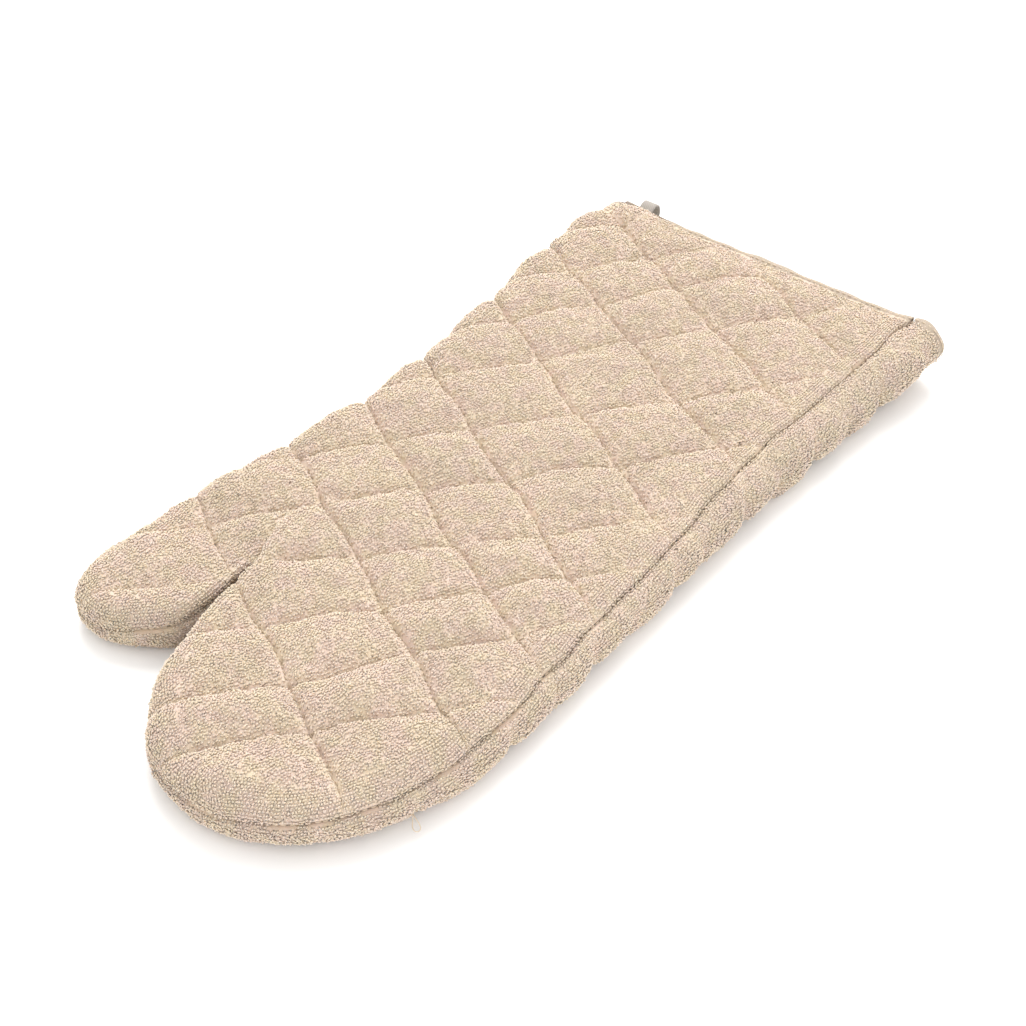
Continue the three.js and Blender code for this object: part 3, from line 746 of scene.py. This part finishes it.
def binding_stitches(name, side, material):
    """The row of lockstitches beside the binding's edge."""
    _, at = cuff_section(side, 1.0, np.array([0.0, 1.0]))
    count = int(at[1] / STITCH)
    u = (np.arange(count) + 0.5) / count
    middle, _ = cuff_section(side, 0.4, u)
    outer, _ = cuff_section(side, 0.0, u)
    ahead, _ = cuff_section(side, 0.4, u + 0.002)
    along = unit((ahead - middle) * (1, 0, 1))
    up = unit((outer - middle) * (1, 0, 1))
    middle[:, 1] = TERRY_END + 1.3
    points, faces, _ = beans(middle, along, up, STITCH * 0.8, 0.6, 0.5, 5)
    return make_object(name, points, [faces], material)


def turn_outwards(made):
    """Points a closed mesh's faces outwards."""
    work = bmesh.new()
    work.from_mesh(made.data)
    bmesh.ops.recalc_face_normals(work, faces=work.faces)
    work.to_mesh(made.data)
    work.free()


def lining(name, side, material):
    """The lining of one panel: the skin at its depth, a little slack between the quilting, a thin cloth."""
    depth = 7.9
    skin = panel_skin(side, 2.5, [(depth, 2.8)], 12, depth)
    points, quads = skin["points"], skin["quads"]
    normals = vertex_normals(points, quads)
    (a, near_a, along_a, _), (b, near_b, along_b, _) = both_rows(points[:, 0], points[:, 1], side)
    slack = (np.sin(math.pi * a) * np.sin(math.pi * b)) ** 0.5 * 1.3
    slack += 0.25 * np.sin(along_a * math.tau / 9) * np.exp(-near_a / 5)
    slack += 0.25 * np.sin(along_b * math.tau / 9) * np.exp(-near_b / 5)
    slack *= 1 - smoothstep(BINDING_START - 6, BINDING_START, points[:, 1])
    points = points - normals * slack[:, None]
    made = make_object(name, points, quads, material)
    thick = made.modifiers.new("cloth", "SOLIDIFY")
    thick.thickness = 0.0007
    thick.offset = 1
    return made


def hanging_tape(material):
    """The hanging loop: one tape that leaves the cuff doubled, opens into a teardrop and comes back. Its UV
    map runs along and across the tape in metres."""
    root = LOOP_DRAWN[1] - 10.5
    t = np.linspace(0.0, math.tau, 90)
    bulge = np.sin(t) * np.abs(np.sin(t / 2)) ** 1.5 / 0.7
    drop = np.stack([LOOP_DRAWN[1] + 9 * (1 - np.cos(t)), LOOP_Z + 5 * bulge], axis=1)
    inside = np.linspace(root, LOOP_DRAWN[1] - 0.3, 14)
    path = np.concatenate([
        np.stack([inside, np.full(14, LOOP_Z + 0.62)], axis=1),
        drop[6:-6],
        np.stack([inside[::-1], np.full(14, LOOP_Z - 0.62)], axis=1),
    ])
    path[14:-14, 1] += np.linspace(0.45, -0.45, len(path) - 28)
    path[:, 1] += LOOP_RISE * smoothstep(LOOP_DRAWN[1] + 1, LOOP_DRAWN[1] + 19, path[:, 0])
    run = np.concatenate([[0], np.cumsum(np.linalg.norm(np.diff(path, axis=0), axis=1))])
    tangent = unit(np.gradient(path, axis=0))
    out = np.stack([-tangent[:, 1], tangent[:, 0]], axis=1)
    across = np.array([-4, -3.8, -3, -1.5, 0, 1.5, 3, 3.8, 4.0])
    thick = 0.5 * np.array([0.45, 0.85, 1, 1, 1, 1, 1, 0.85, 0.45])
    section = np.concatenate([np.stack([across, thick], 1), np.stack([across, -thick], 1)[::-1]])
    grid = np.zeros((len(path), len(section), 3))
    grid[:, :, 0] = LOOP_DRAWN[0] + section[:, 0][None] + 0.25 * np.sin(run / 6)[:, None]
    grid[:, :, 1] = path[:, 0][:, None] + out[:, 0][:, None] * section[:, 1][None]
    grid[:, :, 2] = path[:, 1][:, None] + out[:, 1][:, None] * section[:, 1][None]
    uv = np.stack(np.broadcast_arrays(run[:, None], section[:, 0][None]), axis=-1).reshape(-1, 2) * 0.001
    columns = len(section)
    quads = ring_faces(len(path), columns)
    last = (len(path) - 1) * columns
    ends = [list(range(columns)), [last + k for k in reversed(range(columns))]]
    made = make_object("hanging_loop_tape", grid.reshape(-1, 3), [quads, *ends], material, None, uv=uv)
    turn_outwards(made)
    return made


def bartack(material):
    """Close zigzag stitches across the loop's sewn ends."""
    t = np.linspace(0, 1, 120)
    x = LOOP_DRAWN[0] - 3 + 6 * t
    wave = np.sin(t * math.tau * 14)
    y = LOOP_DRAWN[1] - 5.9 + 1.6 * np.sign(wave) * np.abs(wave) ** 0.5
    z = LOOP_Z + 1.45 + 0.15 * np.cos(t * math.tau * 28)
    points, faces = tube(np.stack([x, y, z], axis=1), 0.26, 6)
    return make_object("loop_bartack_stitches", points, faces, material)


# --- materials -----------------------------------------------------------------------------------------

def new_material(name, roughness, sheen=0.0, sheen_tint=(1, 1, 1)):
    material = bpy.data.materials.new(name)
    material.use_nodes = True
    shader = material.node_tree.nodes["Principled BSDF"]
    shader.inputs["Roughness"].default_value = roughness
    shader.inputs["Specular IOR Level"].default_value = 0.2
    shader.inputs["Sheen Weight"].default_value = sheen
    shader.inputs["Sheen Roughness"].default_value = 0.6
    shader.inputs["Sheen Tint"].default_value = (*sheen_tint, 1)
    return material, material.node_tree.nodes, material.node_tree.links, shader


def group(name, inputs, outputs):
    """An empty shader group with named float, colour and vector sockets."""
    made = bpy.data.node_groups.new(name, "ShaderNodeTree")
    for label, kind, value in inputs:
        socket = made.interface.new_socket(name=label, in_out="INPUT", socket_type=f"NodeSocket{kind}")
        if value is not None:
            socket.default_value = value
    for label, kind in outputs:
        made.interface.new_socket(name=label, in_out="OUTPUT", socket_type=f"NodeSocket{kind}")
    return made, made.nodes.new("NodeGroupInput"), made.nodes.new("NodeGroupOutput")


def math_node(tree, operation, a, b=None):
    node = tree.nodes.new("ShaderNodeMath")
    node.operation = operation
    for socket, value in zip(node.inputs, (a, b)):
        if value is None:
            continue
        if isinstance(value, (int, float)):
            socket.default_value = value
        else:
            tree.links.new(value, socket)
    return node.outputs[0]


def noise(tree, scale, detail=2.0, vector=None, roughness=0.5):
    node = tree.nodes.new("ShaderNodeTexNoise")
    node.inputs["Scale"].default_value = scale
    node.inputs["Detail"].default_value = detail
    node.inputs["Roughness"].default_value = roughness
    if vector is None:
        vector = tree.nodes.new("ShaderNodeTexCoord").outputs["Object"]
    tree.links.new(vector, node.inputs["Vector"])
    return node.outputs["Fac"]


def mix_colour(tree, share, a, b, blend="MIX"):
    node = tree.nodes.new("ShaderNodeMix")
    node.data_type = "RGBA"
    node.blend_type = blend
    for socket, value in ((node.inputs["Factor"], share), (node.inputs[6], a), (node.inputs[7], b)):
        if isinstance(value, (int, float)):
            socket.default_value = value
        elif isinstance(value, tuple):
            socket.default_value = (*value, 1)
        else:
            tree.links.new(value, socket)
    return node.outputs[2]


def ranged(tree, value, low, high, to_low=0.0, to_high=1.0):
    node = tree.nodes.new("ShaderNodeMapRange")
    tree.links.new(value, node.inputs["Value"])
    for label, number in (("From Min", low), ("From Max", high), ("To Min", to_low), ("To Max", to_high)):
        node.inputs[label].default_value = number
    return node.outputs["Result"]


def scaled_colour(tree, colour, scale):
    """A colour times a value."""
    node = tree.nodes.new("ShaderNodeVectorMath")
    node.operation = "SCALE"
    tree.links.new(colour, node.inputs[0])
    tree.links.new(scale, node.inputs["Scale"])
    return node.outputs[0]


def add_bump(tree, shader, height, strength, distance):
    """Relief on a shader, from heights of up to a distance in metres."""
    bump = tree.nodes.new("ShaderNodeBump")
    bump.inputs["Strength"].default_value = strength
    bump.inputs["Distance"].default_value = distance
    tree.links.new(height, bump.inputs["Height"])
    tree.links.new(bump.outputs["Normal"], shader.inputs["Normal"])


def attribute_value(tree, name):
    node = tree.nodes.new("ShaderNodeAttribute")
    node.attribute_name = name
    return node.outputs["Fac"]


def natural_cotton():
    """The uneven colour of unbleached cotton: broad warm and pale drifts, fine yarn to yarn change, and
    rare dark flecks of seed."""
    made, given, out = group(
        "natural_cotton",
        [("Base", "Color", (0.8, 0.7, 0.6, 1)), ("Drift", "Float", 1.0), ("Flecks", "Float", 1.0)],
        [("Color", "Color")],
    )
    base = given.outputs["Base"]
    broad = ranged(made, noise(made, 26, 2), 0.35, 0.65, -0.5, 0.5)
    broad = math_node(made, "MULTIPLY", broad, given.outputs["Drift"])
    hue = ranged(made, noise(made, 130, 2), 0.36, 0.64)
    warm = mix_colour(made, hue, (1.0, 0.995, 0.90), (1.02, 0.955, 0.985))
    tinted = mix_colour(made, given.outputs["Drift"], base, mix_colour(made, 1.0, base, warm, "MULTIPLY"))
    light = math_node(made, "ADD", math_node(made, "MULTIPLY", broad, 0.07), 1.0)
    lit = scaled_colour(made, tinted, light)
    spots = ranged(made, noise(made, 520, 0), 0.79, 0.81)
    rare = ranged(made, noise(made, 48, 0), 0.6, 0.64)
    fleck = math_node(made, "MULTIPLY", math_node(made, "MULTIPLY", spots, rare), given.outputs["Flecks"])
    made.links.new(mix_colour(made, fleck, lit, (0.16, 0.11, 0.07)), out.inputs["Color"])
    return made


def woven_tape():
    """Diagonal twill on a tape's own UV map in metres: the height and shade of its crossing yarns."""
    made, given, out = group(
        "woven_tape",
        [("Vector", "Vector", None), ("Pitch", "Float", 0.0009), ("Lean", "Float", 1.0)],
        [("Height", "Float"), ("Shade", "Float")],
    )
    split = made.nodes.new("ShaderNodeSeparateXYZ")
    made.links.new(given.outputs["Vector"], split.inputs[0])
    u, v = split.outputs["X"], split.outputs["Y"]
    diagonal = math_node(made, "ADD", u, math_node(made, "MULTIPLY", v, given.outputs["Lean"]))
    rib = math_node(made, "MULTIPLY", math_node(made, "DIVIDE", diagonal, given.outputs["Pitch"]), math.tau)
    rib = math_node(made, "ABSOLUTE", math_node(made, "SINE", math_node(made, "MULTIPLY", rib, 0.5)))
    yarn = math_node(made, "MULTIPLY", math_node(made, "DIVIDE", v, given.outputs["Pitch"]), math.tau * 1.6)
    yarn = ranged(made, math_node(made, "SINE", yarn), -1, 1, 0.7, 1)
    height = math_node(made, "MULTIPLY", math_node(made, "POWER", rib, 0.6), yarn)
    made.links.new(height, out.inputs["Height"])
    made.links.new(ranged(made, height, 0, 1, 0.8, 1.05), out.inputs["Shade"])
    return made


COTTON = natural_cotton()
TWILL = woven_tape()


def place_group(nodes, source, values):
    node = nodes.new("ShaderNodeGroup")
    node.node_tree = source
    for label, value in values.items():
        node.inputs[label].default_value = value
    return node


def terry_material():
    """Looped terry: cotton colour by loop, painted shade between the loops and in the seam's groove, with a
    soft sheen.
    """
    material, nodes, links, shader = new_material("looped_terry", 0.95, 0.45, (1, 0.95, 0.88))
    tree = material.node_tree
    shader.inputs["Subsurface Weight"].default_value = 0.35
    shader.inputs["Subsurface Radius"].default_value = (1.0, 0.8, 0.6)
    shader.inputs["Subsurface Scale"].default_value = 0.0012
    cotton = place_group(nodes, COTTON, {"Base": (0.675, 0.552, 0.444, 1), "Drift": 0.9, "Flecks": 0.8})
    # Painted shade: the attribute darkens the base colour at the loops' roots, on the skin and along the
    # seam's groove.
    shade = ranged(tree, attribute_value(tree, "painted_pile_shade"), 0.0, 1.0, 0.85, 1.0)
    own = ranged(tree, attribute_value(tree, "tint"), 0, 1, 0.95, 1.05)
    shade = math_node(tree, "MULTIPLY", shade, own)
    links.new(scaled_colour(tree, cotton.outputs["Color"], shade), shader.inputs["Base Color"])
    add_bump(tree, shader, noise(tree, 2600, 3), 0.5, 0.0003)
    return material


def tape_material(name, colour, pitch, lean, roughness=0.8):
    material, nodes, links, shader = new_material(name, roughness, 0.15)
    tree = material.node_tree
    cotton = place_group(nodes, COTTON, {"Base": (*colour, 1), "Drift": 0.5, "Flecks": 0.0})
    weave = place_group(nodes, TWILL, {"Pitch": pitch, "Lean": lean})
    uv = nodes.new("ShaderNodeUVMap")
    uv.uv_map = "cloth"
    links.new(uv.outputs["UV"], weave.inputs["Vector"])
    shade = scaled_colour(tree, cotton.outputs["Color"], weave.outputs["Shade"])
    links.new(shade, shader.inputs["Base Color"])
    add_bump(tree, shader, weave.outputs["Height"], 0.7, 0.0002)
    return material


def plain_cloth_material():
    """Plain woven lining: crossing yarns from two waves on Object coordinates."""
    material, nodes, links, shader = new_material("plain_lining", 0.9, 0.15)
    tree = material.node_tree
    cotton = place_group(nodes, COTTON, {"Base": (0.80, 0.69, 0.55, 1), "Drift": 0.6, "Flecks": 0.4})
    place = nodes.new("ShaderNodeTexCoord")
    split = nodes.new("ShaderNodeSeparateXYZ")
    links.new(place.outputs["Object"], split.inputs[0])
    yarns = math.tau / 0.0009
    warp = math_node(tree, "SINE", math_node(tree, "MULTIPLY", split.outputs["X"], yarns))
    weft = math_node(tree, "SINE", math_node(tree, "MULTIPLY", split.outputs["Y"], yarns))
    height = math_node(tree, "MULTIPLY", warp, weft)
    shade = scaled_colour(tree, cotton.outputs["Color"], ranged(tree, height, -1, 1, 0.9, 1.03))
    links.new(shade, shader.inputs["Base Color"])
    add_bump(tree, shader, height, 0.6, 0.00015)
    return material


def thread_material(name, colour):
    """Spun thread with a fine uneven twist."""
    material, nodes, links, shader = new_material(name, 0.75, 0.1)
    tree = material.node_tree
    cotton = place_group(nodes, COTTON, {"Base": (*colour, 1), "Drift": 0.3, "Flecks": 0.0})
    links.new(cotton.outputs["Color"], shader.inputs["Base Color"])
    add_bump(tree, shader, noise(tree, 3800, 2), 0.5, 0.0001)
    return material


# --- the mitt put together -----------------------------------------------------------------------------

terry = terry_material()
# Painted shade: the quilting thread is darker than the cotton to stand for the shade in the stitched rows'
# grooves.
thread = thread_material("quilting_thread", (0.46, 0.36, 0.26))
seam_thread = thread_material("seam_thread", (0.66, 0.55, 0.42))
binding_cloth = tape_material("binding_tape", (0.43, 0.355, 0.28), 0.0011, 1.0)
loop_cloth = tape_material("loop_tape", (0.36, 0.33, 0.30), 0.0013, 0.8)
lining_cloth = plain_cloth_material()

for word, side in (("front", FRONT), ("back", BACK)):
    panel, skin, skin_points = terry_panel(f"{word}_quilted_panel", side, terry)
    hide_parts(f"{word}_terry_panel", f"{word}_batting")
    stitches = quilting_stitches(f"{word}_quilting_stitches", side, skin, skin_points, thread)
    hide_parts(f"{word}_quilting_thread")
    inner = lining(f"{word}_lining_cloth", side, lining_cloth)
    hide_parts(f"{word}_lining")
    binding = cuff_binding(f"{word}_binding_tape", side, binding_cloth)
    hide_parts(f"{word}_cuff_binding")
    row = binding_stitches(f"{word}_binding_stitches", side, seam_thread)
    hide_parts(f"{word}_binding_thread")

seam = seam_stitches(seam_thread)
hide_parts("side_seam_thread")
overlock = overlock_stitches(seam_thread)
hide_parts("seam_overlock_thread")
tape = hanging_tape(loop_cloth)
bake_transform(tape)
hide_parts("hanging_loop", "hanging_loop_root")
tack = bartack(seam_thread)
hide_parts("loop_bartack_thread")

# --- floor, light and camera ---------------------------------------------------------------------------

floor_mesh = bpy.data.meshes.new("studio_floor")
floor_mesh.from_pydata([(-6, -6, 0), (6, -6, 0), (6, 6, 0), (-6, 6, 0)], [], [(0, 1, 2, 3)])
floor = bpy.data.objects.new("studio_floor", floor_mesh)
bpy.context.scene.collection.objects.link(floor)
white, _, _, floor_shader = new_material("white_paper", 0.9)
floor_shader.inputs["Base Color"].default_value = (0.94, 0.94, 0.94, 1)
floor_mesh.materials.append(white)

world = bpy.data.worlds.new("studio")
bpy.context.scene.world = world
world.use_nodes = True
world.node_tree.nodes["Background"].inputs["Color"].default_value = (1, 0.995, 0.985, 1)
world.node_tree.nodes["Background"].inputs["Strength"].default_value = 1.12
bpy.context.scene.view_settings.view_transform = "Standard"


def soft_light(name, place, size, power):
    """A square area light aimed at the middle of the mitt."""
    data = bpy.data.lights.new(name, "AREA")
    data.shape = "SQUARE"
    data.size = size
    data.energy = power
    lamp = bpy.data.objects.new(name, data)
    lamp.location = place
    lamp.rotation_euler = (-Vector(place)).to_track_quat("-Z", "Y").to_euler()
    bpy.context.scene.collection.objects.link(lamp)


soft_light("key_light", (-0.9, 1.35, 2.1), 1.95, 67)
soft_light("fill_light", (1.2, -0.9, 1.0), 1.4, 9)

camera_data = bpy.data.cameras.new("camera")
camera = bpy.data.objects.new("camera", camera_data)
bpy.context.scene.collection.objects.link(camera)
bpy.context.scene.camera = camera
camera_data.sensor_width = 36
camera_data.lens = 36 * 2300 / 1026
tilt = math.radians(40)
ahead = Vector((-0.612 * math.cos(tilt), 0.791 * math.cos(tilt), -math.sin(tilt)))
camera.location = (np.array([469.2, -615.4, 665.06]) - ORIGIN) * 0.001
camera.rotation_euler = ahead.to_track_quat("-Z", "Y").to_euler()
camera_data.clip_start = 0.01
